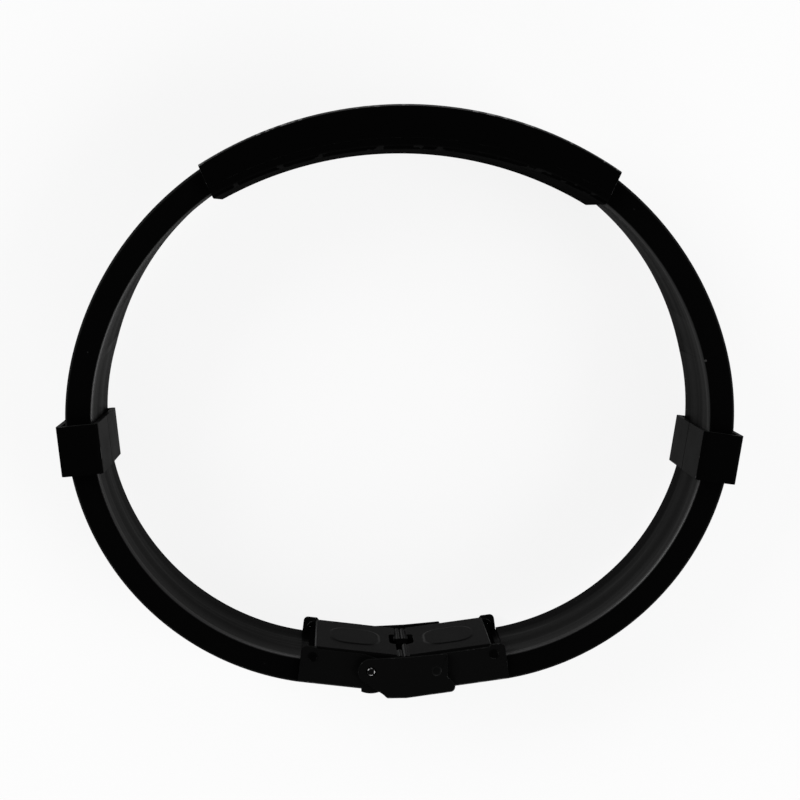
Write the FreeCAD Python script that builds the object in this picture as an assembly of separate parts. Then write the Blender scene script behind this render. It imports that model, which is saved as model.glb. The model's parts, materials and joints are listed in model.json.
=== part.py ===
# Closed wrist band of black rubber with a curved metal plate, two metal strap loops and a folding clasp.
# It lies on its side edges: Z runs along the width of the band, the plate is towards +Y, the clasp towards -Y.
# Millimetres and degrees. The origin is under the middle of the whole band, on the surface that it lies on.
import FreeCAD, Part
import math
import os

os.makedirs("parts", exist_ok=True)
V = FreeCAD.Vector

# Fits
press_gap = 0.01            # a pin held tight in a sheet
running_gap = 0.05          # a sheet that turns on a pin
seat_gap = 0.05             # rubber against metal, and sheet beside sheet

# Strap: one rubber band of rectangular section with softened edges
strap_thickness = 3.0
strap_width = 10.0
strap_edge_round = 0.5
side_radius = 27.37         # centre line, from the clasp up past the widest place
side_centre_offset = 6.84   # of that arc, left or right of the middle
upper_radius = 32.4         # centre line, from there up to the plate
join_angle = 15.1           # where the two arcs meet, above the widest place

# Plate: an outer shell and a back sheet that hold the strap between them
plate_width = 12.4
plate_outer_radius = 40.0
plate_inner_radius = 41.8
plate_thickness = 3.86      # at its middle
plate_half_chord = 21.9     # middle to the outer corner
plate_end_slope = 24.5      # end faces, away from straight down
plate_shift = 0.86          # the plate has slid a little to the right
plate_turn = -0.85
plate_rise = 2.22           # outer face above the strap's centre line
plate_sheet = 0.5
plate_side_wall = 0.6
plate_back_sheet = 0.45
plate_edge_round = 0.3
core_width = 9.6

# Loops: folded sheet with a butt seam on the wrist side
loop_sheet = 0.5
loop_length = 5.3
loop_clearance = 0.15
loop_width = 12.4
loop_bend = 0.5
loop_seam = 0.12
right_loop_angle = -8.1     # on the side arc
left_loop_angle = -5.2

# Clasp halves, in a frame on the outer pin: u runs towards the middle, v towards the wrist
clasp_tilt = 7.35
hinge_pin_radius = 0.5
channel_sheet = 0.4
channel_width = 11.1
channel_bend = 0.3
channel_mouth = 1.3         # outer pin to the mouth
channel_floor = 3.03        # outer pin to the outer face
channel_rim = 0.86          # outer pin to the rim
channel_ear = 1.1           # outer pin to the top of the ear that holds it
ear_end = 0.45              # outer pin to where the ear has stepped down to the rim
ear_corner = 0.5
channel_base_end = 6.1
inner_ear = 1.05            # rounded end about the strap pin
strap_pin_u = 6.45
strap_pin_v = -0.8
strap_pin_radius = 0.5
foot_radius = 2.6           # the left half's rounded foot about the strap pin
foot_end = 8.0
pin_dome = 0.12

# Strap ends inside the channels
strap_proud = 0.25          # outside of the strap beyond the channel's outer face
neck_length = 0.3
tongue_width = 9.2
tongue_gap = 0.08           # below the outer pin and above the floor
eye_radius = 1.15

# Blades: shallow covers nested in the channels, hinged on the outer pins
blade_sheet = 0.4
blade_top = 1.05
blade_skirt = 0.1           # lower rim of the side walls
blade_ear = 0.85
blade_start = -0.1
blade_end = 9.1
blade_bend = 0.25
pad_length = 5.6            # raised pad pressed into each blade
pad_width = 5.8
pad_corner = 1.9
pad_height = 0.15
pad_start = 1.75
notch_start = 8.41           # beside the barrel, for the hook
notch_low = -2.3
notch_length = 3.4
notch_corner = 0.55

# Middle joint: a rolled barrel on each blade, a pin in each, and a hook from the left pin over the right one
barrel_radius = 0.28
barrel_u = 9.52
barrel_v = 0.75
barrel_spacing = 0.62
centre_pin_radius = 0.14
web_drop = 0.12
knuckle_end = 5.0
low_knuckle_top = -1.2
left_high_knuckle = 2.8
right_high_knuckle = 0.8
hook_low = -1.1
hook_width = 1.8
hook_sheet = 0.2
hook_reach = 0.3

# Cover: hinged on the left strap pin, snapped over the right one
cover_sheet = 0.35
cover_width = 12.1
cover_ear = 1.4
cover_rim_middle = 1.55     # hinge to the rim, half way along
cover_rim_end = 1.9
cover_gap = 0.06            # under the right channel
cover_flange_end = 8.3      # hinge to the end of the side walls
cover_lip = 0.85            # finger lip beyond the side walls' upper part
cover_lip_corner = 0.45
cover_lip_rise = 0.5        # side of the lip, above the floor
cover_heel = 1.8            # hinge to the start of the floor
cover_kink = 3.85           # hinge to where the floor turns up along the right channel
cover_chamfer = 0.5
cover_bend = 0.25
snap_dome_radius = 0.55     # raised spot on the cover's side
snap_dome_rise = 0.12
snap_pocket_radius = 0.5    # hollow inside that spot
snap_pocket_depth = 0.12
snap_tip_radius = 0.45      # domed end of the right strap pin
snap_grip = 0.03            # that end past the cover's inner side


def polar(radius, angle):
    turn = math.radians(angle)
    return V(radius * math.cos(turn), radius * math.sin(turn), 0)


def prism(points, half_width):
    """Straight-sided outline, as thick as the given half width on both sides of the middle plane."""
    corners = [V(x, y, -half_width) for x, y in points]
    face = Part.Face(Part.makePolygon(corners + corners[:1]))
    return face.extrude(V(0, 0, 2 * half_width))


def disc(x, y, radius, low, high):
    return Part.makeCylinder(radius, high - low, V(x, y, low))


def block(x_low, x_high, y_low, y_high, z_low, z_high):
    return Part.makeBox(x_high - x_low, y_high - y_low, z_high - z_low, V(x_low, y_low, z_low))


def ring_sector(centre, inner, outer, start, end, half_width):
    """Part of a flat ring between two directions from its centre."""
    middle = (start + end) / 2
    edges = [
        Part.Arc(centre + polar(outer, start), centre + polar(outer, middle), centre + polar(outer, end)).toShape(),
        Part.LineSegment(centre + polar(outer, end), centre + polar(inner, end)).toShape(),
        Part.Arc(centre + polar(inner, end), centre + polar(inner, middle), centre + polar(inner, start)).toShape(),
        Part.LineSegment(centre + polar(inner, start), centre + polar(outer, start)).toShape(),
    ]
    face = Part.Face(Part.Wire(edges))
    face.translate(V(0, 0, -half_width))
    return face.extrude(V(0, 0, 2 * half_width))


def round_edges(shape, radius, chosen):
    """Rounds the edges whose middle point passes the test."""
    edges = [e for e in shape.Edges if chosen(e.valueAt((e.FirstParameter + e.LastParameter) / 2), e)]
    return shape.makeFillet(radius, edges)


def along_y(shape):
    """The edges that run along Y."""
    return [e for e in shape.Edges if abs(e.Vertexes[0].Y - e.Vertexes[-1].Y) > 0.01]


def mirrored(shape):
    return shape.mirror(V(0, 0, 0), V(1, 0, 0))


def ball_cap(x, y, radius, rise, face, side):
    """Ball whose cap beyond a face across the band, on one side of the middle, has this radius and rise."""
    ball = (radius ** 2 + rise ** 2) / (2 * rise)
    return Part.makeSphere(ball, V(x, y, side * (face + rise - ball)))


def across(x, y, radius, near, far, side):
    """Disc between two distances from the middle plane, on one side of it."""
    low, high = sorted((side * near, side * far))
    return disc(x, y, radius, low, high)


def pin(x, y, radius, half_length, dome):
    """Pin across the band with its two ends rounded over."""
    shape = disc(x, y, radius, -half_length, half_length)
    return round_edges(shape, dome, lambda p, e: abs(abs(p.z) - half_length) < 0.001)


# Places that several pieces share, for the left side; the right side mirrors them
tilt = math.radians(clasp_tilt)
u_axis = V(math.cos(tilt), -math.sin(tilt), 0)
v_axis = V(math.sin(tilt), math.cos(tilt), 0)
side_centre = V(-side_centre_offset, 0, 0)
upper_centre = side_centre + polar(upper_radius - side_radius, -join_angle)
shoulder_u = -(channel_mouth + seat_gap)
strap_mid_v = -channel_floor - strap_proud + strap_thickness / 2
shoulder = u_axis * shoulder_u + v_axis * strap_mid_v
outer_pin = V(0, 0, 0)
outer_pin.x = -barrel_spacing / 2 - (u_axis * barrel_u + v_axis * barrel_v).x
outer_pin.y = -math.sqrt(side_radius ** 2 - (outer_pin.x + shoulder.x - side_centre.x) ** 2) - shoulder.y
strap_pin = outer_pin + u_axis * strap_pin_u + v_axis * strap_pin_v
left_barrel = outer_pin + u_axis * barrel_u + v_axis * barrel_v
end_slope = math.radians(plate_end_slope)
end_down = V(-math.sin(end_slope), -math.cos(end_slope), 0)
end_outward = V(-end_down.y, end_down.x, 0)
plate_corner = V(plate_half_chord, math.sqrt(plate_outer_radius ** 2 - plate_half_chord ** 2) - plate_outer_radius, 0)
path_top = upper_centre.y + math.sqrt(upper_radius ** 2 - upper_centre.x ** 2)
plate_top = V(plate_shift, path_top + plate_rise, 0)


def on_clasp(shape):
    """Takes a shape from the clasp half's frame to its place on the left."""
    placed = shape.copy()
    placed.rotate(V(0, 0, 0), V(0, 0, 1), -clasp_tilt)
    placed.translate(outer_pin)
    return placed


def on_plate(shape):
    """Takes a shape from the plate's frame, with its top at the origin, to its place."""
    placed = shape.copy()
    placed.rotate(V(0, 0, 0), V(0, 0, 1), plate_turn)
    placed.translate(plate_top)
    return placed


def plate_block(top_inset, bottom_inset, end_inset, half_width):
    """The plate's outline, drawn in by an inset at the outer face, the inner face and the ends."""
    arch = disc(0, -plate_outer_radius, plate_outer_radius - top_inset, -half_width, half_width)
    hollow = disc(0, -plate_thickness - plate_inner_radius, plate_inner_radius + bottom_inset, -half_width, half_width)
    high = plate_corner - end_down * plate_thickness - end_outward * end_inset
    low = plate_corner + end_down * 2 * plate_thickness - end_outward * end_inset
    crown = V(0, plate_thickness, 0)
    window = prism([(high.x, high.y), (low.x, low.y), (-low.x, low.y), (-high.x, high.y),
                    (-high.x, crown.y), (high.x, crown.y)], half_width)
    return arch.cut(hollow).common(window)


def beyond_plate_end(side, gap):
    """Everything outside the plate's end face on one side, with a gap left to it."""
    start = plate_corner + end_outward * gap
    reach = 4 * side_radius
    points = [start - end_down * reach, start + end_down * reach,
              start + (end_down + end_outward) * reach, start - (end_down - end_outward) * reach]
    return on_plate(prism([(side * p.x, p.y) for p in points], plate_width))


# Plate shell, back sheet and the middle of the strap
half_plate = plate_width / 2
blank = plate_block(0, plate_back_sheet, 0, half_plate)
blank = round_edges(blank, plate_edge_round,
                    lambda p, e: abs(abs(p.z) - half_plate) < 0.001
                    and abs(math.hypot(p.x, p.y + plate_outer_radius) - plate_outer_radius) < 0.001)
cavity = plate_block(plate_sheet, -plate_back_sheet, -seat_gap, half_plate - plate_side_wall)
plate_shell = on_plate(blank.cut(cavity))
back_disc = disc(0, -plate_thickness - plate_inner_radius, plate_inner_radius + plate_back_sheet - press_gap,
                 -half_plate, half_plate)
plate_back = on_plate(plate_block(0, 0, 0, half_plate).common(back_disc))
strap_middle = on_plate(plate_block(plate_sheet + seat_gap, plate_back_sheet + seat_gap, 0, core_width / 2))


def strap_half(side):
    """Free stretch from the plate to the clasp, then the thin tongue and the eye inside the channel."""
    half = strap_thickness / 2
    upper = ring_sector(upper_centre, upper_radius - half, upper_radius + half, 75, 180 - join_angle, strap_width / 2)
    clasp_angle = math.degrees(math.asin((outer_pin.x - side_centre.x) / side_radius))
    lower = ring_sector(side_centre, side_radius - half, side_radius + half,
                        180 - join_angle, 270 + clasp_angle, strap_width / 2)
    band = upper.fuse(lower).removeSplitter()
    band = round_edges(band, strap_edge_round,
                       lambda p, e: abs(abs(p.z) - strap_width / 2) < 0.001 and not abs(p.x) < 0.001
                       and e.Length > strap_thickness + 1)
    keep_left = on_clasp(block(-4 * side_radius, shoulder_u, -4 * side_radius, 4 * side_radius, -20, 20))
    band = band.common(keep_left)
    inner_face = strap_mid_v + half
    tongue_top = -hinge_pin_radius - tongue_gap
    tongue_bottom = -channel_floor + channel_sheet + tongue_gap
    neck_end = shoulder_u + neck_length
    neck = block(shoulder_u - strap_edge_round, neck_end, tongue_bottom, inner_face - strap_edge_round / 2,
                 -tongue_width / 2, tongue_width / 2)
    tongue = block(shoulder_u, strap_pin_u, tongue_bottom, tongue_top, -tongue_width / 2, tongue_width / 2)
    eye = disc(strap_pin_u, strap_pin_v, eye_radius, -tongue_width / 2, tongue_width / 2)
    hole = disc(strap_pin_u, strap_pin_v, strap_pin_radius + press_gap, -tongue_width, tongue_width)
    end = on_clasp(neck.fuse(tongue).fuse(eye).cut(hole))
    whole = band.fuse(end).removeSplitter()
    if side > 0:
        whole = mirrored(whole)
    return whole.common(beyond_plate_end(side, seat_gap))


def channel(with_foot):
    """Folded channel that holds a strap end, with ears for the outer pin and the strap pin."""
    half = channel_width / 2
    mouth = -channel_mouth
    outline = prism([(mouth, -channel_floor), (strap_pin_u, -channel_floor),
                     (strap_pin_u + inner_ear, -channel_floor + inner_ear),
                     (strap_pin_u + inner_ear, strap_pin_v), (strap_pin_u + inner_ear / 2, channel_rim - 0.3),
                     (strap_pin_u - inner_ear, channel_rim), (ear_end, channel_rim),
                     (ear_end - channel_ear + channel_rim, channel_ear), (mouth, channel_ear)], half)
    outline = round_edges(outline, ear_corner,
                          lambda p, e: abs(p.x - mouth) < 0.001 and abs(p.y - channel_ear) < 0.001)
    if with_foot:
        foot = disc(strap_pin_u, strap_pin_v, foot_radius, -half, half)
        outline = outline.fuse(foot.common(block(channel_base_end - 0.4, foot_end, -9, strap_pin_v, -half, half)))
    outline = outline.removeSplitter()
    outline = round_edges(outline, channel_bend,
                          lambda p, e: abs(abs(p.z) - half) < 0.001 and abs(p.y + channel_floor) < 0.001)
    inside = half - channel_sheet
    trough = block(mouth - 1, foot_end + 1, -channel_floor + channel_sheet, 3, -inside, inside)
    past_base = block(channel_base_end, foot_end + 1, -9, 3, -inside, inside)
    hinge_hole = disc(0, 0, hinge_pin_radius + press_gap, -half - 1, half + 1)
    strap_hole = disc(strap_pin_u, strap_pin_v, strap_pin_radius + press_gap, -half - 1, half + 1)
    return outline.cut(trough).cut(past_base).cut(hinge_hole).cut(strap_hole)


def blade(high_knuckle):
    """Shallow cover with bent sides, a raised pad, a round notch and a rolled barrel in two lengths."""
    half = channel_width / 2 - channel_sheet - seat_gap
    skirt = prism([(blade_start, 0), (0.3, blade_skirt), (blade_end, blade_skirt), (blade_end, blade_top),
                   (blade_start, blade_top)], half)
    skirt = round_edges(skirt, blade_bend, lambda p, e: abs(abs(p.z) - half) < 0.001 and abs(p.y - blade_top) < 0.001)
    shape = skirt.fuse(disc(0, 0, blade_ear, -half, half))
    inside = half - blade_sheet
    shape = shape.cut(block(-2, blade_end + 1, -2, blade_top - blade_sheet, -inside, inside))
    pad = block(pad_start, pad_start + pad_length, blade_top - blade_sheet / 2, blade_top + pad_height,
                -pad_width / 2, pad_width / 2)
    pad = pad.makeFillet(pad_corner, along_y(pad))
    pad = round_edges(pad, pad_height * 0.9, lambda p, e: abs(p.y - blade_top - pad_height) < 0.001)
    shape = shape.fuse(pad)
    for low, high in ((-knuckle_end, low_knuckle_top), (high_knuckle, knuckle_end)):
        roll = disc(barrel_u, barrel_v, barrel_radius, low, high)
        web = block(blade_end - 0.1, barrel_u, blade_top - blade_sheet, blade_top - web_drop, low, high)
        shape = shape.fuse(roll).fuse(web)
        shape = shape.cut(disc(barrel_u, barrel_v, centre_pin_radius + press_gap, low - 1, high + 1))
    beside_barrel = barrel_u - barrel_radius
    notch = block(notch_start, beside_barrel, barrel_v - 1, barrel_v + 1, notch_low, notch_low + notch_length)
    notch = round_edges(notch, notch_corner,
                        lambda p, e: abs(p.x - notch_start) < 0.001 and abs(p.y - barrel_v) < 0.001)
    shape = shape.cut(notch)
    shape = shape.cut(disc(0, 0, hinge_pin_radius + running_gap, -half - 1, half + 1))
    return shape.removeSplitter()


def centre_hook():
    """Short link that turns on the left centre pin and lies over the right one."""
    high = hook_low + hook_width
    right_barrel = V(-left_barrel.x, left_barrel.y, 0)
    roll = disc(left_barrel.x, left_barrel.y, barrel_radius, hook_low, high)
    top = left_barrel.y + barrel_radius
    arm = block(left_barrel.x, right_barrel.x + hook_reach, top - hook_sheet, top, hook_low, high)
    over = disc(right_barrel.x, right_barrel.y, centre_pin_radius + running_gap, hook_low - 1, high + 1)
    shape = roll.fuse(arm).cut(over)
    return shape.cut(disc(left_barrel.x, left_barrel.y, centre_pin_radius + running_gap, hook_low - 1, high + 1))


def cover():
    """Bent cover over both channels: side walls with a hinge ear, a floor with a finger lip, and snap spots."""
    half = cover_width / 2
    inside = half - cover_sheet
    snap_pin = V(-strap_pin.x, strap_pin.y, 0)
    slope = u_axis.y / u_axis.x
    floor_depth = (channel_floor + strap_pin_v + cover_gap) / u_axis.x
    sheet = V(0, -cover_sheet / u_axis.x, 0)

    def floor_at(x):
        return V(x, snap_pin.y - floor_depth - (x - snap_pin.x) * slope, 0)

    kink = floor_at(strap_pin.x + cover_kink)
    heel = V(strap_pin.x + cover_heel, kink.y, 0)
    end_x = strap_pin.x + cover_flange_end
    tip = floor_at(end_x + cover_lip)
    tip_top = tip + V(0, cover_lip_rise, 0)
    walls = [strap_pin + V(0, cover_ear, 0), strap_pin + polar(cover_ear, 225),
             heel + sheet + V(-cover_chamfer, cover_chamfer, 0), heel + sheet, kink + sheet, tip + sheet,
             tip_top, tip_top + V(-cover_lip, cover_lip, 0), V(end_x, strap_pin.y + cover_rim_end, 0),
             V((strap_pin.x + end_x) / 2, strap_pin.y + cover_rim_middle, 0)]
    body = prism([(p.x, p.y) for p in walls], half)
    body = round_edges(body, cover_lip_corner,
                       lambda p, e: abs(p.x - tip.x) < 0.001 and abs(p.y - (tip + sheet).y) < 0.001)
    body = body.fuse(disc(strap_pin.x, strap_pin.y, cover_ear, -half, half)).removeSplitter()
    under = floor_at(snap_pin.x) + sheet
    body = round_edges(body, cover_bend,
                       lambda p, e: abs(abs(p.z) - half) < 0.001 and p.x > kink.x
                       and abs(p.y - under.y + (p.x - under.x) * slope) < 0.01)
    corner = kink + sheet
    past_tip = tip + V(cover_lip, -cover_lip * slope, 0)
    space = [V(strap_pin.x - 2 * cover_ear, corner.y - 1, 0), V(heel.x, corner.y - 1, 0), heel, kink,
             past_tip, past_tip + V(0, 2 * floor_depth + 2 * cover_ear, 0),
             V(strap_pin.x - 2 * cover_ear, strap_pin.y + 2 * cover_ear, 0)]
    body = body.cut(prism([(p.x, p.y) for p in space], inside))
    body = body.cut(disc(strap_pin.x, strap_pin.y, strap_pin_radius + running_gap, -half - 1, half + 1))
    for side in (-1, 1):
        spot = ball_cap(snap_pin.x, snap_pin.y, snap_dome_radius, snap_dome_rise, half, side)
        outer_part = across(snap_pin.x, snap_pin.y, 2 * snap_dome_radius, half - cover_sheet / 2, half + 1, side)
        body = body.fuse(spot.common(outer_part))
        body = body.cut(ball_cap(snap_pin.x, snap_pin.y, snap_pocket_radius, snap_pocket_depth, inside, side))
    return body


def loop(angle):
    """Sheet folded round the strap: flat walls, softened corners and a seam down the wrist side."""
    inner = side_radius - strap_thickness / 2
    sag = inner - math.sqrt(inner ** 2 - (loop_length / 2) ** 2)
    low = inner - sag - loop_clearance
    high = side_radius + strap_thickness / 2 + loop_clearance
    half = loop_length / 2
    width = loop_width / 2
    outer = block(low - loop_sheet, high + loop_sheet, -half, half, -width, width)
    outer = outer.makeFillet(loop_bend, along_y(outer))
    space = block(low, high, -half - 1, half + 1, -width + loop_sheet, width - loop_sheet)
    seam = block(low - 2 * loop_sheet, low, -half - 1, half + 1, -loop_seam / 2, loop_seam / 2)
    shape = outer.cut(space).cut(seam)
    shape.rotate(V(0, 0, 0), V(0, 0, 1), angle)
    shape.translate(V(side_centre_offset, 0, 0))
    return shape


channel_half = channel_width / 2
end_pin_half = channel_half + pin_dome
left_end_pin = on_clasp(pin(0, 0, hinge_pin_radius, end_pin_half, pin_dome))
hinge_half = cover_width / 2 + pin_dome
left_strap_pin = on_clasp(pin(strap_pin_u, strap_pin_v, strap_pin_radius, hinge_half, pin_dome))
snap_pin_half = channel_half - press_gap
snap_tip_rise = cover_width / 2 - cover_sheet + snap_grip - snap_pin_half
right_strap_pin = disc(strap_pin_u, strap_pin_v, strap_pin_radius, -snap_pin_half, snap_pin_half)
for side in (-1, 1):
    snap_tip = ball_cap(strap_pin_u, strap_pin_v, snap_tip_radius, snap_tip_rise, snap_pin_half, side)
    tip_part = across(strap_pin_u, strap_pin_v, snap_tip_radius, snap_pin_half - press_gap, snap_pin_half + 1, side)
    right_strap_pin = right_strap_pin.fuse(snap_tip.common(tip_part))
left_centre_pin = on_clasp(disc(barrel_u, barrel_v, centre_pin_radius, -knuckle_end, knuckle_end))

nodes = {
    "plate_shell": plate_shell,
    "plate_back": plate_back,
    "strap_middle": strap_middle,
    "left_strap": strap_half(-1),
    "right_strap": strap_half(1),
    "left_loop": mirrored(loop(left_loop_angle)),
    "right_loop": loop(right_loop_angle),
    "left_channel": on_clasp(channel(True)),
    "right_channel": mirrored(on_clasp(channel(False))),
    "left_end_pin": left_end_pin,
    "right_end_pin": mirrored(left_end_pin),
    "left_strap_pin": left_strap_pin,
    "right_strap_pin": mirrored(on_clasp(right_strap_pin)),
    "left_blade": on_clasp(blade(left_high_knuckle)),
    "right_blade": mirrored(on_clasp(blade(right_high_knuckle))),
    "left_centre_pin": left_centre_pin,
    "right_centre_pin": mirrored(left_centre_pin),
    "centre_hook": centre_hook(),
    "cover": cover(),
}

# The finished band is moved so that the origin is under its middle
whole = FreeCAD.BoundBox()
for shape in nodes.values():
    whole.add(shape.optimalBoundingBox(False))
move = V(-whole.Center.x, -whole.Center.y, -whole.ZMin)

mouths = {}
for side, name in ((-1, "left_strap"), (1, "right_strap")):
    centre = V(-side * upper_centre.x, upper_centre.y, 0)
    normal = V(side * end_outward.x, end_outward.y, 0)
    corner = V(side * plate_corner.x, plate_corner.y, 0)
    turn = FreeCAD.Rotation(V(0, 0, 1), plate_turn)
    line = turn.multVec(V(side * end_down.x, end_down.y, 0))
    start = plate_top + turn.multVec(corner) + turn.multVec(normal) * seat_gap - centre
    radius = upper_radius + strap_thickness / 2
    along = start.dot(line)
    step = -along - math.sqrt(along ** 2 - start.dot(start) + radius ** 2)
    mouths[name] = centre + start + line * step

for name, shape in nodes.items():
    shape.translate(move)
    shape.exportStep("parts/%s.step" % name)
    box = shape.BoundBox
    print("%s: %d solid, valid %s, %.2f mm3, box %.2f %.2f %.2f to %.2f %.2f %.2f" % (
        name, len(shape.Solids), shape.isValid(), shape.Volume,
        box.XMin, box.YMin, box.ZMin, box.XMax, box.YMax, box.ZMax))

axes = {
    "left side arc": side_centre, "right side arc": mirrored(Part.Vertex(side_centre)).Point,
    "left outer pin": outer_pin, "left strap pin": strap_pin, "left centre pin": left_barrel,
    "left strap mouth": mouths["left_strap"], "right strap mouth": mouths["right_strap"],
}
for name, place in axes.items():
    moved = place + move
    print("axis %s: %.4f %.4f %.4f" % (name, moved.x, moved.y, moved.z))
print("moved by %.4f %.4f %.4f" % (move.x, move.y, move.z))
print("whole %.3f by %.3f by %.3f" % (whole.XLength, whole.YLength, whole.ZLength))
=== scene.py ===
# %% [markdown]
# # A closed wrist band of black rubber
# The band is a rubber strap held by a curved metal plate, with a folding clasp opposite the plate and two metal
# loops that slide on its sides. This lesson dresses the working solids of the band as they look in a studio
# photograph: nearly black pieces on a white table, seen from above along the width of the band.
# Everything is in metres, and Z runs along the width of the band.

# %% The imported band
import json
import math

import bpy
from mathutils import Matrix, Vector


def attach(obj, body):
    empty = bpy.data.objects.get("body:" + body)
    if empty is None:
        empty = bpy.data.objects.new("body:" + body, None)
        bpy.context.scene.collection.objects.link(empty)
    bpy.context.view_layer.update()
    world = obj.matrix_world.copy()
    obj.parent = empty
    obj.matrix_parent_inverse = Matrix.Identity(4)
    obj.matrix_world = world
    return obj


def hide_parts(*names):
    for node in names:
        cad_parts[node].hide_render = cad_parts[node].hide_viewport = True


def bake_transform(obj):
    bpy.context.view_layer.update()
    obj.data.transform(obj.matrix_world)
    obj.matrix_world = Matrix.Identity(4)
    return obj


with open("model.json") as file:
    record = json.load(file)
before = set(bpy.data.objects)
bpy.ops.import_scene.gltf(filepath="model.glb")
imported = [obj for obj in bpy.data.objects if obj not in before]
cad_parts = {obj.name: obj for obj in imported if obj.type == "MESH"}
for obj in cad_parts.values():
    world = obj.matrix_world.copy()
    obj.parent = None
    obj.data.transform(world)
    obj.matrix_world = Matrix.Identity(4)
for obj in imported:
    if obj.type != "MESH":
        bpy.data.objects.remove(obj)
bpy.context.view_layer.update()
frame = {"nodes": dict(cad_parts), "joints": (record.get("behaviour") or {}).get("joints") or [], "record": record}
MM = 0.001

# %% [markdown]
# ## Where the pieces are
# The joints of the band give most of the places that the looks need: the pins of the clasp, the mouths of the
# plate where the strap bends, and the centres of the two side arcs that the loops travel along. The record says
# which body each piece moves with, and which finish it has.

# %% Places
pivot = {joint["name"]: Vector(joint["pos_m"]) for joint in frame["joints"]}
LEFT, RIGHT = -1, 1
word = {LEFT: "left", RIGHT: "right"}
middle_z = pivot["cover_lift"].z
side_centre = {LEFT: pivot["left_loop_travel"], RIGHT: pivot["right_loop_travel"]}
mouth_corner = {LEFT: pivot["left_strap_bend"], RIGHT: pivot["right_strap_bend"]}
end_pin = {LEFT: pivot["left_blade_fold"], RIGHT: pivot["right_blade_fold"]}
middle_x = (side_centre[LEFT].x + side_centre[RIGHT].x) / 2

behaviour = frame["record"]["behaviour"]
body_of = {node: body for body, nodes in behaviour["bodies"].items() for node in nodes}
print("middle of the width at", round(middle_z / MM, 2), "mm")

# %% [markdown]
# ## Working by hand in code
# Operators act on all that is selected, and loading leaves the solids selected. So each new piece starts with
# nothing selected, and edges and faces are picked by their place. Lengths are given in millimetres and turned into
# metres where they meet an operator.

# %% Selecting and settling
NEAR = 0.01      # millimetres: places closer than this count as the same
BEYOND = 9       # millimetres: far enough for a cutting tool to reach past any piece of the clasp


def start_fresh():
    if bpy.context.mode != "OBJECT":
        bpy.ops.object.mode_set(mode="OBJECT")
    bpy.ops.object.select_all(action="DESELECT")


def name_it(name):
    piece = bpy.context.active_object
    piece.name = name
    piece.data.name = name
    return piece


def select_only(piece):
    start_fresh()
    piece.select_set(True)
    bpy.context.view_layer.objects.active = piece


def settle(piece):
    """Puts the piece's place into its mesh, so that its object sits at the origin."""
    select_only(piece)
    bpy.ops.object.transform_apply(location=True, rotation=True, scale=True)


def edit_all(piece):
    """Goes into edit mode with everything selected, and vertex selection on."""
    select_only(piece)
    bpy.ops.object.mode_set(mode="EDIT")
    bpy.ops.mesh.select_mode(type="VERT")
    bpy.ops.mesh.select_all(action="SELECT")


def outward(piece):
    """Merges doubles and turns every face outwards."""
    edit_all(piece)
    bpy.ops.mesh.remove_doubles(threshold=0.0005 * MM)
    bpy.ops.mesh.normals_make_consistent(inside=False)
    bpy.ops.object.mode_set(mode="OBJECT")


def smooth(piece, degrees=35):
    """Shades softly over edges that turn by less than an angle."""
    select_only(piece)
    bpy.ops.object.shade_smooth_by_angle(angle=math.radians(degrees))


def even_shading(piece):
    """Lets the large faces set the normals, so that flat sheet looks flat up to its rounded edges."""
    step = piece.modifiers.new("even shading", "WEIGHTED_NORMAL")
    step.keep_sharp = True
    select_only(piece)
    bpy.ops.object.modifier_apply(modifier=step.name)


def pick_edges(piece, wanted):
    """Goes into edit mode with only those edges selected whose two ends, in millimetres, pass a test."""
    edit_all(piece)
    bpy.ops.mesh.select_mode(type="EDGE")
    bpy.ops.mesh.select_all(action="DESELECT")
    bpy.ops.object.mode_set(mode="OBJECT")
    for edge in piece.data.edges:
        edge.select = wanted(*(piece.data.vertices[index].co / MM for index in edge.vertices))
    bpy.ops.object.mode_set(mode="EDIT")


def pick_faces(piece, wanted):
    """Goes into edit mode with only those faces selected whose middle, in millimetres, and normal pass a test."""
    edit_all(piece)
    bpy.ops.mesh.select_mode(type="FACE")
    bpy.ops.mesh.select_all(action="DESELECT")
    bpy.ops.object.mode_set(mode="OBJECT")
    for face in piece.data.polygons:
        face.select = wanted(face.center / MM, face.normal)
    bpy.ops.object.mode_set(mode="EDIT")


def crosswise(a, b):
    """A test for the edges that run across the width of the band."""
    return abs(a.z - b.z) > NEAR


def along_side(half_width):
    """A test for the edges that lie in the side faces, at this distance from the middle plane."""
    return lambda a, b: not crosswise(a, b) and abs(abs(a.z) - half_width) < NEAR


def stands_at(a, x, y):
    return math.hypot(a.x - x, a.y - y) < NEAR


def round_over(piece, radius, wanted, segments=4):
    """Rounds the edges that pass a test."""
    pick_edges(piece, wanted)
    bpy.ops.mesh.bevel(offset=radius * MM, segments=segments, affect="EDGES")
    bpy.ops.object.mode_set(mode="OBJECT")


# %% [markdown]
# ## Sheet metal from outlines
# Most pieces of the clasp are folded from sheet. Each starts as its side view: a single point that is extruded
# from corner to corner, closed to a face and extruded across the width of the band. Booleans then take out the
# inside and the holes, as a press does, and a narrow bevel breaks every cut edge so that it catches the light.

# %% Outlines, rods and blocks
def arc(centre, radius, start, end, steps):
    """Points along an arc, from one direction to another in degrees."""
    turns = [math.radians(start + (end - start) * k / steps) for k in range(steps + 1)]
    return [(centre[0] + radius * math.cos(turn), centre[1] + radius * math.sin(turn)) for turn in turns]


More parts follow.
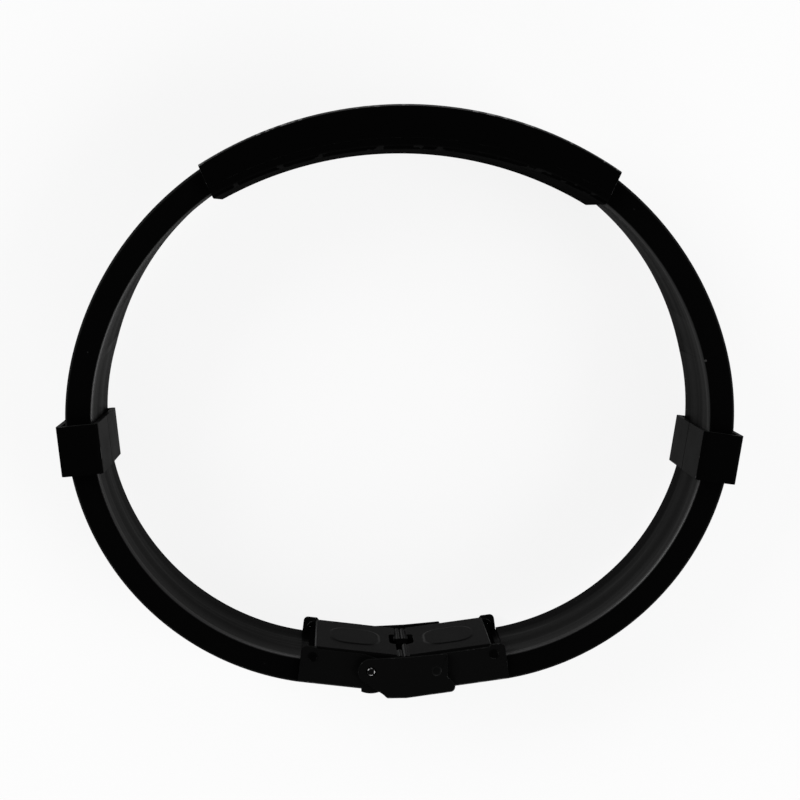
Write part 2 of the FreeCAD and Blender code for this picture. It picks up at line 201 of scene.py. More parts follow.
def slab(name, corners, half_width):
    """A side view given by its corners, made solid equally far to both sides of the middle plane."""
    places = [Vector((x, y, -half_width)) * MM for x, y in corners]
    start_fresh()
    bpy.ops.mesh.primitive_plane_add(size=MM, location=places[0])
    piece = name_it(name)
    settle(piece)
    edit_all(piece)
    bpy.ops.mesh.merge(type="CENTER")
    for here, there in zip(places, places[1:]):
        bpy.ops.mesh.extrude_region_move(TRANSFORM_OT_translate={"value": there - here})
    bpy.ops.mesh.select_all(action="SELECT")
    bpy.ops.mesh.edge_face_add()
    bpy.ops.mesh.extrude_region_move(TRANSFORM_OT_translate={"value": (0, 0, 2 * half_width * MM)})
    outward(piece)
    return piece


def rod(name, x, y, radius, low, high, sides=48):
    start_fresh()
    bpy.ops.mesh.primitive_cylinder_add(vertices=sides, radius=radius * MM, depth=(high - low) * MM,
                                        location=Vector((x, y, (low + high) / 2)) * MM)
    piece = name_it(name)
    settle(piece)
    return piece


def block(name, low, high):
    """A block between two corners."""
    low, high = Vector(low) * MM, Vector(high) * MM
    start_fresh()
    bpy.ops.mesh.primitive_cube_add(size=1, location=(low + high) / 2)
    piece = name_it(name)
    piece.dimensions = high - low
    settle(piece)
    return piece


# %% Cutting and joining
def combine(operation, piece, tools):
    for tool in tools:
        select_only(piece)
        step = piece.modifiers.new("combine", "BOOLEAN")
        step.operation = operation
        step.solver = "EXACT"
        step.object = tool
        bpy.ops.object.modifier_apply(modifier=step.name)
        bpy.data.objects.remove(tool)
    return piece


def cut(piece, *tools):
    return combine("DIFFERENCE", piece, tools)


def unite(piece, *tools):
    return combine("UNION", piece, tools)


def soften(piece, width):
    """Rounds every sharp edge with a narrow bevel."""
    outward(piece)
    bevel = piece.modifiers.new("soft edges", "BEVEL")
    bevel.width = width * MM
    bevel.segments = 2
    bevel.limit_method = "ANGLE"
    bevel.angle_limit = math.radians(40)
    select_only(piece)
    bpy.ops.object.modifier_apply(modifier=bevel.name)


# %% [markdown]
# ## The clasp's own directions
# Both halves of the clasp lean by the same small angle. Their pieces are made in the half's own directions,
# *along* from the outer pin towards the middle, *up* towards the wrist, and then seated on their half. The right
# half is a mirror image, which turns its pieces inside out, so their faces are turned outwards again.

# %% Seating a piece
CLASP_TILT = math.radians(7.35)


def seat(piece, place, along=(1, 0, 0), up=(0, 1, 0)):
    """Takes a piece from its own directions to its place in the band."""
    turn = Matrix((along, up, (0, 0, 1))).transposed().to_4x4()
    piece.matrix_world = Matrix.Translation(place) @ turn
    settle(piece)
    outward(piece)
    return piece


def clasp_directions(side):
    along = (-side * math.cos(CLASP_TILT), -math.sin(CLASP_TILT), 0)
    up = (-side * math.sin(CLASP_TILT), math.cos(CLASP_TILT), 0)
    return along, up


def seat_on_clasp(piece, side):
    return seat(piece, end_pin[side], *clasp_directions(side))


def clasp_point(side, along, up):
    """A point of one clasp half in the band's middle plane, from its outer pin, in millimetres."""
    forward, wristward = (Vector(direction) for direction in clasp_directions(side))
    return end_pin[side] + forward * along * MM + wristward * up * MM


# %% [markdown]
# ## Materials as expressions
# Shader maths reads best as ordinary Python. The small class below wraps a socket, so that an expression such as
# `1 - mask * 0.5` adds its own Math nodes, and one method adds any other node.

# %% Sockets in expressions
class Socket:
    """A shader value that works in Python expressions."""

    def __init__(self, finish, source):
        self.finish = finish
        self.source = source

    def _math(self, operation, first, second):
        return self.finish.node("ShaderNodeMath", {"operation": operation}, {0: first, 1: second})

    def __add__(self, other):
        return self._math("ADD", self, other)

    def __radd__(self, other):
        return self._math("ADD", other, self)

    def __sub__(self, other):
        return self._math("SUBTRACT", self, other)

    def __rsub__(self, other):
        return self._math("SUBTRACT", other, self)

    def __mul__(self, other):
        return self._math("MULTIPLY", self, other)

    def __abs__(self):
        return self.finish.node("ShaderNodeMath", {"operation": "ABSOLUTE"}, {0: self})


class Finish:
    """A material made from nodes."""

    def __init__(self, name):
        self.material = bpy.data.materials.new(name)
        self.material.use_nodes = True
        self.tree = self.material.node_tree
        self.tree.nodes.clear()

    def node(self, kind, settings=None, inputs=None, output=0):
        """Adds a node, links or sets its inputs, and gives back one of its outputs."""
        made = self.tree.nodes.new(kind)
        for key, value in (settings or {}).items():
            setattr(made, key, value)
        for key, value in (inputs or {}).items():
            if isinstance(value, Socket):
                self.tree.links.new(value.source, made.inputs[key])
            else:
                made.inputs[key].default_value = value
        return Socket(self, made.outputs[output])

    def place(self):
        return self.node("ShaderNodeTexCoord", output="Object")

    def scaled(self, factors):
        """The place on the piece, stretched by three factors per metre."""
        return self.node("ShaderNodeMapping", inputs={"Vector": self.place(), "Scale": factors})

    def noise(self, vector, scale, detail):
        return self.node("ShaderNodeTexNoise", inputs={"Vector": vector, "Scale": scale, "Detail": detail})

    def between(self, value, low, high):
        """0 below low, 1 above high, and smooth in between."""
        return self.node("ShaderNodeMapRange", {"interpolation_type": "SMOOTHSTEP"},
                         {"Value": value, "From Min": low, "From Max": high})

    def height(self):
        """How far a point is above the middle of the width, in metres."""
        return self.node("ShaderNodeSeparateXYZ", inputs={0: self.place()}, output="Z") - middle_z

    def normal(self):
        return self.node("ShaderNodeNewGeometry", output="Normal")

    def normal_along(self, axis):
        return self.node("ShaderNodeSeparateXYZ", inputs={0: self.normal()}, output=axis)

    def facing_edge(self):
        """0 on the walls along the width, 1 on the faces at its two ends, and in between on round edges."""
        return abs(self.normal_along("Z"))

    def wrist_side(self):
        """1 where a surface faces the middle of the band, 0 where it faces outwards."""
        flat_place = self.scaled((1, 1, 0))
        outwards = self.node("ShaderNodeVectorMath", {"operation": "DOT_PRODUCT"},
                             {0: self.normal(), 1: flat_place}, output="Value")
        return 1 - self.between(outwards, -16 * MM, -2 * MM)

    def mix(self, factor, first, second):
        """The first colour where the factor is 0, the second where it is 1."""
        return self.node("ShaderNodeMix", {"data_type": "RGBA"}, {"Factor": factor, 6: first, 7: second},
                         output=2)

    def bump(self, height, distance):
        return self.node("ShaderNodeBump", inputs={"Height": height, "Distance": distance})

    def surface(self, **inputs):
        """Ends the material with a Principled surface."""
        names = {key.replace("_", " "): value for key, value in inputs.items()}
        self.end_with(self.node("ShaderNodeBsdfPrincipled", inputs=names, output="BSDF"))
        return self.material

    def end_with(self, shader):
        end = self.tree.nodes.new("ShaderNodeOutputMaterial")
        self.tree.links.new(shader.source, end.inputs["Surface"])


def grey(level):
    return (level, level, level, 1)


# %% [markdown]
# ## Black rubber
# The strap is moulded silicone rubber, almost black on its side faces. The long walls are a little paler, a painted
# sheen of the light they catch at a grazing angle. On the wrist side the painted sheen gets lighter towards the
# upper edge and stays dark at the far edge, with painted sheen streaks along the strap, and the round edge between
# wall and side face gets a painted highlight besides a thin clear coat. A very fine grain breaks it all up, and a
# few specks of lint cling to it.

# %% Rubber
# The three wall tones, the streak tone and the edge tone are painted sheen, painted shade and a painted highlight;
# the side face and lint tones are the rubber's own.
RUBBER_TONES_AND_PAINTED_LIGHT = {"side face": 0.0009, "far wall": 0.001, "wall": 0.0075, "near wall sheen": 0.014, "sheen streak": 0.018,
               "edge": 0.016, "lint": 0.02}


def rubber():
    finish = Finish("black_rubber")
    tones_and_painted_light = {part: grey(level) for part, level in RUBBER_TONES_AND_PAINTED_LIGHT.items()}
    fine = finish.noise(finish.place(), 9000, 4)
    patches = finish.noise(finish.place(), 160, 2)
    # Painted sheen streaks along the strap.
    sheen_streaks = finish.between(finish.noise(finish.scaled((40, 40, 1300)), 1.0, 2), 0.5, 0.62)
    facing = finish.facing_edge()
    side_face = finish.between(facing, 0.75, 0.97)
    # The edge mask carries a painted highlight on the wrist side's round edges, and also sets the real clear coat.
    edge = finish.between(facing, 0.12, 0.5) * (1 - side_face) * finish.wrist_side()
    height = finish.height()
    # Painted sheen on the walls: dark at the far edge, a lighter band past it, and lightest towards the near edge.
    past_middle = finish.between(height, 0.2 * MM, 1.2 * MM)
    line = finish.between(height, -2.6 * MM, -0.4 * MM) * (1 - past_middle * 0.3)
    rise = finish.between(height, 1.6 * MM, 4.4 * MM)
    wall = finish.mix(line * (0.7 + patches * 0.5), tones_and_painted_light["far wall"], tones_and_painted_light["wall"])
    wall = finish.mix(rise * 0.8, wall, tones_and_painted_light["near wall sheen"])
    wall = finish.mix(sheen_streaks * line * 0.5, wall, tones_and_painted_light["sheen streak"])
    wall = finish.mix(finish.wrist_side(), tones_and_painted_light["wall"], wall)
    colour = finish.mix(side_face, wall, tones_and_painted_light["side face"])
    colour = finish.mix(edge * (0.55 + patches * 0.5), colour, tones_and_painted_light["edge"])
    lint = finish.between(finish.noise(finish.place(), 1500, 1), 0.8, 0.84)
    colour = finish.mix(lint, colour, tones_and_painted_light["lint"])
    return finish.surface(Base_Color=colour, Roughness=0.34 + patches * 0.1 + fine * 0.05,
                          Normal=finish.bump(fine, 0.006 * MM), Specular_IOR_Level=0.0011,
                          Coat_Weight=edge * 0.3, Coat_Roughness=0.35)


# %% [markdown]
# ## Coated metal
# Plate, loops, channels and cover are steel with a thin black coating. The coating has a faint orange peel. It is
# blackest on the faces at the two ends of the width; the walls are greyer with a painted sheen, and bent and cut
# edges get a painted edge level, a highlight on most pieces, with painted glints, and on most pieces a thin clear
# coat that shines there. Five such coatings are used, for the plate's shell, its back sheet, the loops, the clasp
# and the small dark pins, and each has its own levels.

# %% Black coating
EDGE_GLINT_GAIN = 6        # how much lighter the painted glints on the edges are


def black_coating(name, side_level, wall_sheen_level, painted_edge_level, gloss, shine, side_from=0.8, outer_only=False):
    """Greys for side faces, painted wall sheen and painted edge light; gloss, edge shine, and how straight a side
    face looks up.
    """
    finish = Finish(name)
    peel = finish.noise(finish.place(), 2600, 2)
    cloud = finish.noise(finish.place(), 240, 3)
    # Painted glints along the edges.
    edge_glints = finish.between(finish.noise(finish.place(), 900, 2), 0.56, 0.62)
    facing = finish.facing_edge()
    side_face = finish.between(facing, side_from, side_from + 0.18)
    # The edge mask carries the painted edge light, and also sets the real clear coat.
    edge = finish.between(facing, 0.1, 0.45) * (1 - side_face)
    if outer_only:
        edge = edge * (1 - finish.wrist_side())
    # Painted sheen on the walls, then painted light on the edges.
    colour = finish.mix(side_face, grey(wall_sheen_level), grey(side_level))
    colour = finish.mix(edge, colour, grey(painted_edge_level))
    colour = finish.mix(finish.between(cloud, 0.3, 0.75) * 0.35, colour, grey(side_level))
    colour = finish.mix(edge * edge_glints, colour, grey(painted_edge_level * EDGE_GLINT_GAIN))
    return finish.surface(Base_Color=colour, Roughness=0.34 + cloud * 0.14,
                          Normal=finish.bump(peel, 0.004 * MM), Specular_IOR_Level=gloss,
                          Coat_Weight=edge * shine, Coat_Roughness=0.3)


# %% [markdown]
# ## Satin blades
# The two blades inside the clasp look dark grey. Their coating is thinner, so the grain of the rolled sheet
# shows through it as faint lines along each blade. The bent outer ends and the slopes of the pads that face away
# from the camera get a painted highlight, and the slopes that face it get painted shade.

# %% Dark satin sheet
# The dark and light tones are the sheet's own; the end and slope tones are a painted highlight and painted shade.
SATIN_TONES_AND_PAINTED_LIGHT = {"dark": 0.0035, "light": 0.0055, "end highlight": 0.025, "far slope highlight": 0.02, "near slope shade": 0.0015}


def satin_sheet():
    finish = Finish("dark_satin_sheet")
    tones_and_painted_light = {part: grey(level) for part, level in SATIN_TONES_AND_PAINTED_LIGHT.items()}
    grain = finish.noise(finish.scaled((900, 14000, 14000)), 1.0, 3)
    cloud = finish.noise(finish.place(), 300, 2)
    colour = finish.mix(cloud, tones_and_painted_light["dark"], tones_and_painted_light["light"])
    # Painted highlight on the bent ends and far slopes, painted shade on the near slopes.
    end_highlight = finish.between(abs(finish.normal_along("X")), 0.15, 0.5)
    far_slope_highlight = finish.between(finish.normal_along("Z") * -1, 0.06, 0.25)
    near_slope_shade = finish.between(finish.normal_along("Z"), 0.1, 0.3)
    colour = finish.mix(end_highlight * 0.8, colour, tones_and_painted_light["end highlight"])
    colour = finish.mix(far_slope_highlight * 0.7, colour, tones_and_painted_light["far slope highlight"])
    colour = finish.mix(near_slope_shade, colour, tones_and_painted_light["near slope shade"])
    return finish.surface(Base_Color=colour, Roughness=0.24 + grain * 0.12,
                          Normal=finish.bump(grain, 0.003 * MM), Specular_IOR_Level=0.0014)


# %% [markdown]
# ## Pin steel
# The two strap pins are dark steel, polished at their domed ends, so each one catches a small bright glint.

# %% Pin steel
def pin_steel():
    finish = Finish("dark_pin_steel")
    scratches = finish.noise(finish.place(), 5000, 3)
    return finish.surface(Base_Color=grey(0.06), Metallic=1.0, Roughness=0.12 + scratches * 0.1,
                          Normal=finish.bump(scratches, 0.002 * MM))


RUBBER = rubber()
# On the plate only the edges that face outwards carry the painted edge highlight.
PLATE_COATING = black_coating("plate_coating", side_level=0.0008, wall_sheen_level=0.0035, painted_edge_level=0.014,
                              gloss=0.0, shine=0.4, outer_only=True)
BACK_COATING = black_coating("back_coating", side_level=0.0008, wall_sheen_level=0.0035, painted_edge_level=0.0006,
                             gloss=0.0, shine=0.0)
LOOP_COATING = black_coating("loop_coating", side_level=0.0008, wall_sheen_level=0.008, painted_edge_level=0.008,
                             gloss=0.0015, shine=0.1, side_from=0.3)
CLASP_COATING = black_coating("clasp_coating", side_level=0.0021, wall_sheen_level=0.003, painted_edge_level=0.008,
                              gloss=0.0005, shine=0.15)
RIVET_COATING = black_coating("rivet_coating", side_level=0.0008, wall_sheen_level=0.001, painted_edge_level=0.0012,
                              gloss=0.0, shine=0.0)
SATIN = satin_sheet()
PIN_STEEL = pin_steel()

# %% [markdown]
# ## Dressing a piece
# A new piece gets its material and the body it moves with, and it
# stands for the solid of that node. The middle of the strap, the hook and the two centre pins keep their solids and
# only get a material.

# %% Dressing
def dress(piece, node, material):
    """Gives a new piece its finish and lets it stand for a solid."""
    piece.data.materials.clear()
    piece.data.materials.append(material)
    smooth(piece)
    even_shading(piece)
    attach(piece, body_of[node])
    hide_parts(node)
    print(piece.name, "has", len(piece.data.polygons), "faces")


for node, material in {
    "strap_middle": RUBBER, "centre_hook": RIVET_COATING,
    "left_centre_pin": RIVET_COATING, "right_centre_pin": RIVET_COATING,
}.items():
    solid = frame["nodes"][node]
    solid.data.materials.clear()
    solid.data.materials.append(material)
    smooth(solid, 30)

# %% [markdown]
# ## The curved plate
# The plate is a shallow arched box that is open at both ends, where the strap leaves it. Its two arcs have
# different centres, so it thins out towards its ends. The outer shell is pressed from sheet: its side view is
# made solid, the outer edges are rounded, and the inside is taken out with the same outline drawn in by the
# thickness of the sheet. A back sheet closes it on the wrist side. It is crowned towards the wrist, so it is thicker
# than the sheet of its solid there, and its long edges are well rounded.

# %% Plate outline
PLATE_WIDTH = 12.4
PLATE_OUTER_RADIUS = 40.0
PLATE_INNER_RADIUS = 41.8
PLATE_THICKNESS = 3.86
PLATE_HALF_CHORD = 21.9
PLATE_END_SLOPE = math.radians(24.5)
PLATE_TURN = math.radians(-0.85)
PLATE_SHEET = 0.5
PLATE_SIDE_WALL = 0.6
PLATE_EDGE_ROUND = 0.3
BACK_SHEET = 0.45
BACK_CROWN = 0.7
BACK_GAP = 0.01
HOLLOW_REACH = 0.4       # how far the hollow is cut past the two open ends
STRAP_THICKNESS = 3.0
UPPER_RADIUS = 32.4
SIDE_RADIUS = 27.37
JOIN_ANGLE = math.radians(15.1)
PLATE_SHIFT = 0.86
PLATE_RISE = 2.22

end_down = Vector((-math.sin(PLATE_END_SLOPE), -math.cos(PLATE_END_SLOPE)))
end_out = Vector((-end_down.y, end_down.x))
end_drop = math.sqrt(PLATE_OUTER_RADIUS ** 2 - PLATE_HALF_CHORD ** 2) - PLATE_OUTER_RADIUS
plate_end = Vector((PLATE_HALF_CHORD, end_drop))
upper_centre = {side: side_centre[side] - Vector((side * math.cos(JOIN_ANGLE), math.sin(JOIN_ANGLE), 0)) * (
    UPPER_RADIUS - SIDE_RADIUS) * MM for side in (LEFT, RIGHT)}
arc_offset = (upper_centre[RIGHT].x - middle_x) / MM
arc_top = upper_centre[RIGHT].y / MM + math.sqrt(UPPER_RADIUS ** 2 - arc_offset ** 2)
plate_top = Vector((middle_x / MM + PLATE_SHIFT, arc_top + PLATE_RISE, middle_z / MM)) * MM
print("top of the plate at", [round(value / MM, 2) for value in plate_top], "mm")


def meet_end(centre_y, radius, inset):
    """Where the plate's right end line, drawn in by an inset, meets an arc about a centre below the top."""
    start = plate_end - end_out * inset - Vector((0, centre_y))
    along = start.dot(end_down)
    crossings = [-along + sign * math.sqrt(along ** 2 - start.dot(start) + radius ** 2) for sign in (-1, 1)]
    step = min(crossings, key=abs)
    return start + end_down * step + Vector((0, centre_y))


def arched(name, outer, inner, inset, half_width):
    """An arched side view between two arcs, each given by the height of its centre and its radius."""
    corners = []
    for (centre_y, radius), turn in ((outer, 1), (inner, -1)):
        corner = meet_end(centre_y, radius, inset)
        reach = math.degrees(math.atan2(corner.x, corner.y - centre_y))
        corners += arc((0, centre_y), radius, 90 + turn * reach, 90 - turn * reach, 56)
    return slab(name, corners, half_width)


def long_edges(half_width, centre_y, radius):
    """A test for the edges in the side faces that follow an arc."""
    in_side_face = along_side(half_width)
    return lambda a, b: in_side_face(a, b) and all(
        abs(math.hypot(end.x, end.y - centre_y) - radius) < NEAR for end in (a, b))


# %% Plate shell and back sheet
outer_arc_centre = -PLATE_OUTER_RADIUS
inner_arc_centre = -PLATE_THICKNESS - PLATE_INNER_RADIUS
half_plate = PLATE_WIDTH / 2
shell = arched("plate_shell_pressed", (outer_arc_centre, PLATE_OUTER_RADIUS),
               (inner_arc_centre, PLATE_INNER_RADIUS + BACK_SHEET), 0, half_plate)
round_over(shell, PLATE_EDGE_ROUND, long_edges(half_plate, outer_arc_centre, PLATE_OUTER_RADIUS))
hollow = arched("hollow", (outer_arc_centre, PLATE_OUTER_RADIUS - PLATE_SHEET),
                (inner_arc_centre, PLATE_INNER_RADIUS - BACK_SHEET), -HOLLOW_REACH, half_plate - PLATE_SIDE_WALL)
cut(shell, hollow)
soften(shell, 0.06)
back = arched("plate_back_sheet", (inner_arc_centre, PLATE_INNER_RADIUS + BACK_SHEET - BACK_GAP),
              (inner_arc_centre, PLATE_INNER_RADIUS - BACK_CROWN), 0, half_plate)
round_over(back, BACK_CROWN, long_edges(half_plate, inner_arc_centre, PLATE_INNER_RADIUS - BACK_CROWN), 8)
soften(back, 0.07)
lean = (math.cos(PLATE_TURN), math.sin(PLATE_TURN), 0), (-math.sin(PLATE_TURN), math.cos(PLATE_TURN), 0)
for piece, node, coating in ((shell, "plate_shell", PLATE_COATING), (back, "plate_back", BACK_COATING)):
    seat(piece, plate_top, *lean)
    dress(piece, node, coating)

# %% [markdown]
# ## The free stretches of the strap
# Each side of the strap is a bar with softened edges that follows two arcs, from the clasp to the plate. It is
# made as on a lathe: the section is drawn once inside the clasp's mouth, spun about the centre of the side arc, and
# then spun on about the centre of the flatter upper arc until it is well inside the plate. Both ends are then cut
# straight, one along the mouth of the clasp and one along the end of the plate. A leaning cone takes a wedge off the
# wrist side of the upper arc, because the band leans outwards there in the photograph. A thin tongue with an eye for
# the strap pin goes on into the clasp.

# %% Strap section
STRAP_WIDTH = 10.0
STRAP_EDGE = 0.5
CHANNEL_MOUTH = -1.3
CHANNEL_FLOOR = -3.03
STRAP_LEVEL = -1.78      # middle of the strap's thickness at the clasp's mouth, from the outer pin
STRAP_PIN = (6.45, -0.8)
PIN_RADIUS = 0.5
PRESS_HOLE = 0.51        # radius of a hole that holds a pin tight
RUNNING_HOLE = 0.55      # radius of a hole that turns on a pin
MOUTH_OVERLAP = math.radians(4)
SIDE_STEPS, UPPER_STEPS = 72, 36
BLEND_LENGTH = 2.5
BEVEL_START = 5.2        # the wedge's point, above the middle of the width
BEVEL_DEPTH = 0.7
BEVEL_DRAW = 2.2         # how much smaller the cone's far end is


def section(name, side, angle):
    """The strap's cross-section with rounded corners, on the side arc at an angle from straight sideways."""
    outwards = Vector((side * math.cos(angle), math.sin(angle), 0))
    centre = side_centre[side] + outwards * SIDE_RADIUS * MM
    turn = Matrix((outwards, Vector((0, 0, 1)), outwards.cross(Vector((0, 0, 1))))).transposed()
    start_fresh()
    bpy.ops.mesh.primitive_plane_add(size=MM, location=centre, rotation=turn.to_euler())
    piece = name_it(name)
    piece.scale = (STRAP_THICKNESS, STRAP_WIDTH, 1)
    settle(piece)
    edit_all(piece)
    bpy.ops.mesh.bevel(offset=STRAP_EDGE * MM, segments=6, affect="VERTICES")
    bpy.ops.mesh.select_all(action="SELECT")
    return piece


def cut_straight(piece, point, direction):
    """Cuts away what lies beyond a plane and closes the end."""
    edit_all(piece)
    bpy.ops.mesh.bisect(plane_co=point, plane_no=direction, use_fill=True, clear_outer=True)
    bpy.ops.object.mode_set(mode="OBJECT")


# %% Strap sides
def strap_side(side):
    shoulder = clasp_point(side, CHANNEL_MOUTH, STRAP_LEVEL)
    from_centre = shoulder - side_centre[side]
    clasp_angle = math.atan2(from_centre.y, side * from_centre.x) - MOUTH_OVERLAP
    to_mouth = mouth_corner[side] - upper_centre[side]
    mouth_angle = math.atan2(to_mouth.y, side * to_mouth.x) + MOUTH_OVERLAP
    piece = section(word[side] + "_strap_body", side, clasp_angle)
    bpy.ops.mesh.spin(steps=SIDE_STEPS, angle=side * (clasp_angle - JOIN_ANGLE), center=side_centre[side],
                      axis=(0, 0, 1))
    bpy.ops.mesh.spin(steps=UPPER_STEPS, angle=side * (JOIN_ANGLE - mouth_angle), center=upper_centre[side],
                      axis=(0, 0, 1))
    outward(piece)
    cut_straight(piece, shoulder, clasp_directions(side)[0])
    along, up = lean
    plate_end_out = Vector(along) * side * end_out.x + Vector(up) * end_out.y
    cut_straight(piece, mouth_corner[side], -plate_end_out)
    return cut(piece, wrist_bevel(side, to_mouth.normalized()))


def wrist_bevel(side, to_mouth):
    """A leaning cone that takes a wedge off the wrist side of the upper arc, widest at the plate's mouth."""
    radius = UPPER_RADIUS - STRAP_THICKNESS / 2
    depth = 2 * BEVEL_START
    start_fresh()
    bpy.ops.mesh.primitive_cone_add(vertices=360, radius1=(radius - BEVEL_DRAW) * MM, radius2=radius * MM,
                                    depth=depth * MM, location=upper_centre[side])
    piece = name_it("wrist_bevel")
    settle(piece)
    edit_all(piece)
    bpy.ops.mesh.select_all(action="DESELECT")
    bpy.ops.object.mode_set(mode="OBJECT")
    for point in piece.data.vertices:
        point.select = point.co.z < upper_centre[side].z
    bpy.ops.object.mode_set(mode="EDIT")
    bpy.ops.transform.translate(value=to_mouth * (BEVEL_DEPTH + BEVEL_DRAW) * MM)
    bpy.ops.object.mode_set(mode="OBJECT")
    cut_straight(piece, upper_centre[side], (side * math.sin(JOIN_ANGLE), -math.cos(JOIN_ANGLE), 0))
    outward(piece)
    return piece


TONGUE_HALF = 4.6
TONGUE_BOTTOM = CHANNEL_FLOOR + 0.48
TONGUE_TOP = -0.58
NECK_TOP = -0.53
NECK_START = CHANNEL_MOUTH - 0.3     # inside the strap
NECK_END = CHANNEL_MOUTH + 0.25
EYE_RADIUS = 1.15


def tongue(side):
    """The thin end of the strap inside the clasp, with an eye for the strap pin."""
    piece = slab("tongue", [(NECK_START, TONGUE_BOTTOM), (STRAP_PIN[0], TONGUE_BOTTOM), (STRAP_PIN[0], TONGUE_TOP),
                            (NECK_END, TONGUE_TOP), (NECK_END, NECK_TOP), (NECK_START, NECK_TOP)], TONGUE_HALF)
    unite(piece, rod("eye", *STRAP_PIN, EYE_RADIUS, -TONGUE_HALF, TONGUE_HALF))
    cut(piece, rod("eye_hole", *STRAP_PIN, PRESS_HOLE, -BEYOND, BEYOND))
    return seat_on_clasp(piece, side)


for side in (LEFT, RIGHT):
    strap = strap_side(side)
    unite(strap, tongue(side))
    outward(strap)
    strap.data.materials.clear()
    strap.data.materials.append(RUBBER)
    smooth(strap)
    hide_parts(word[side] + "_strap")
    widest = side_centre[side] + Vector((side * SIDE_RADIUS * MM, 0, 0))
    away = (widest - mouth_corner[side]).normalized()
    mouth_corner[side] + away * BLEND_LENGTH * MM
    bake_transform(strap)
    print(strap.name, "has", len(strap.data.vertices), "points")

# %% [markdown]
# ## Loops
# Each loop is a strip of sheet folded round the strap, and its two ends meet in a seam on the wrist side. A block
# of its outer size gives up its two open sides, its four folds are rounded, a slit opens the seam, and the shell
# gets the thickness of the sheet inwards.

# %% Loops
LOOP_SHEET = 0.5
LOOP_LENGTH = 5.3
LOOP_WIDTH = 12.4
LOOP_CLEARANCE = 0.15
LOOP_SEAM = 0.12
LOOP_BEND = 0.5
LOOP_ANGLE = {LEFT: math.radians(-5.2), RIGHT: math.radians(-8.1)}


def strap_loop(side):
    inner = SIDE_RADIUS - STRAP_THICKNESS / 2
    low = math.sqrt(inner ** 2 - (LOOP_LENGTH / 2) ** 2) - LOOP_CLEARANCE - LOOP_SHEET
    high = SIDE_RADIUS + STRAP_THICKNESS / 2 + LOOP_CLEARANCE + LOOP_SHEET
    half, width = LOOP_LENGTH / 2, LOOP_WIDTH / 2
    piece = block(word[side] + "_folded_loop", (low, -half, -width), (high, half, width))
    pick_faces(piece, lambda place, normal: abs(normal.y) > 0.9)
    bpy.ops.mesh.delete(type="FACE")
    round_over(piece, LOOP_BEND, lambda a, b: abs(a.y - b.y) > half, 6)
    for z in (-LOOP_SEAM / 2, LOOP_SEAM / 2):
        edit_all(piece)
        bpy.ops.mesh.bisect(plane_co=(0, 0, z * MM), plane_no=(0, 0, 1))
    pick_faces(piece, lambda place, normal: abs(place.z) < LOOP_SEAM / 4 and place.x < (low + high) / 2)
    bpy.ops.mesh.delete(type="FACE")
    outward(piece)
    wall = piece.modifiers.new("sheet", "SOLIDIFY")
    wall.thickness = LOOP_SHEET * MM
    wall.offset = -1
    wall.use_even_offset = True
    select_only(piece)
    bpy.ops.object.modifier_apply(modifier=wall.name)
    soften(piece, 0.08)
    angle = LOOP_ANGLE[side]
    return seat(piece, side_centre[side], (side * math.cos(angle), math.sin(angle), 0),
                (-side * math.sin(angle), math.cos(angle), 0))


for side in (LEFT, RIGHT):
    dress(strap_loop(side), word[side] + "_loop", LOOP_COATING)

# %% [markdown]
# ## Channels
# A channel is a strip folded up on both sides round the end of the strap. Its ears reach a little higher at the
# mouth, where they hold the outer pin. The left channel also has a round foot about the strap pin, because the
# cover hinges there.

# %% Channels
CHANNEL_WIDTH = 11.1
CHANNEL_SHEET = 0.4
CHANNEL_RIM = 0.86
CHANNEL_EAR = 1.1
EAR_TOP_END, EAR_FOOT = 0.21, 0.45       # where the ear's top ends, and where it has stepped down to the rim
EAR_CORNER = 0.5
CHANNEL_BEND = 0.3
INNER_EAR = 1.05
BASE_END = 6.1
FOOT_RADIUS, FOOT_END, FOOT_TURN = 2.6, 8.0, 306.6


def channel(side):
    half = CHANNEL_WIDTH / 2
    inside = half - CHANNEL_SHEET
    far = STRAP_PIN[0] + INNER_EAR
    piece = slab(word[side] + "_folded_channel", [
        (CHANNEL_MOUTH, CHANNEL_FLOOR), (STRAP_PIN[0], CHANNEL_FLOOR), (far, CHANNEL_FLOOR + INNER_EAR),
        (far, STRAP_PIN[1]), (STRAP_PIN[0] + INNER_EAR / 2, CHANNEL_RIM - 0.3),
        (STRAP_PIN[0] - INNER_EAR, CHANNEL_RIM), (EAR_FOOT, CHANNEL_RIM), (EAR_TOP_END, CHANNEL_EAR),
        (CHANNEL_MOUTH, CHANNEL_EAR)], half)
    on_side = along_side(half)
    round_over(piece, EAR_CORNER, lambda a, b: crosswise(a, b) and stands_at(a, CHANNEL_MOUTH, CHANNEL_EAR), 6)
    round_over(piece, CHANNEL_BEND, lambda a, b: on_side(a, b) and max(a.y, b.y) < CHANNEL_FLOOR + NEAR)
    if side == LEFT:
        outline = arc(STRAP_PIN, FOOT_RADIUS, 180, 270, 24) + arc(STRAP_PIN, FOOT_RADIUS, 270, FOOT_TURN, 12)
        foot = slab("foot", outline + [(FOOT_END, STRAP_PIN[1])], half - 0.002)
        cut(foot, block("foot_side", (0, -BEYOND, -BEYOND), (BASE_END - CHANNEL_SHEET, 3, BEYOND)))
        unite(piece, foot)
    trough_floor = CHANNEL_FLOOR + CHANNEL_SHEET
    cut(piece, block("trough", (CHANNEL_MOUTH - 1, trough_floor, -inside), (BEYOND, 3, inside)),
        block("past_floor", (BASE_END, -BEYOND, -inside), (BEYOND, 3, inside)),
        rod("end_pin_hole", 0, 0, PRESS_HOLE, -BEYOND, BEYOND),
        rod("strap_pin_hole", *STRAP_PIN, PRESS_HOLE, -BEYOND, BEYOND))
    soften(piece, 0.05)
    return seat_on_clasp(piece, side)


for side in (LEFT, RIGHT):
    dress(channel(side), word[side] + "_channel", CLASP_COATING)

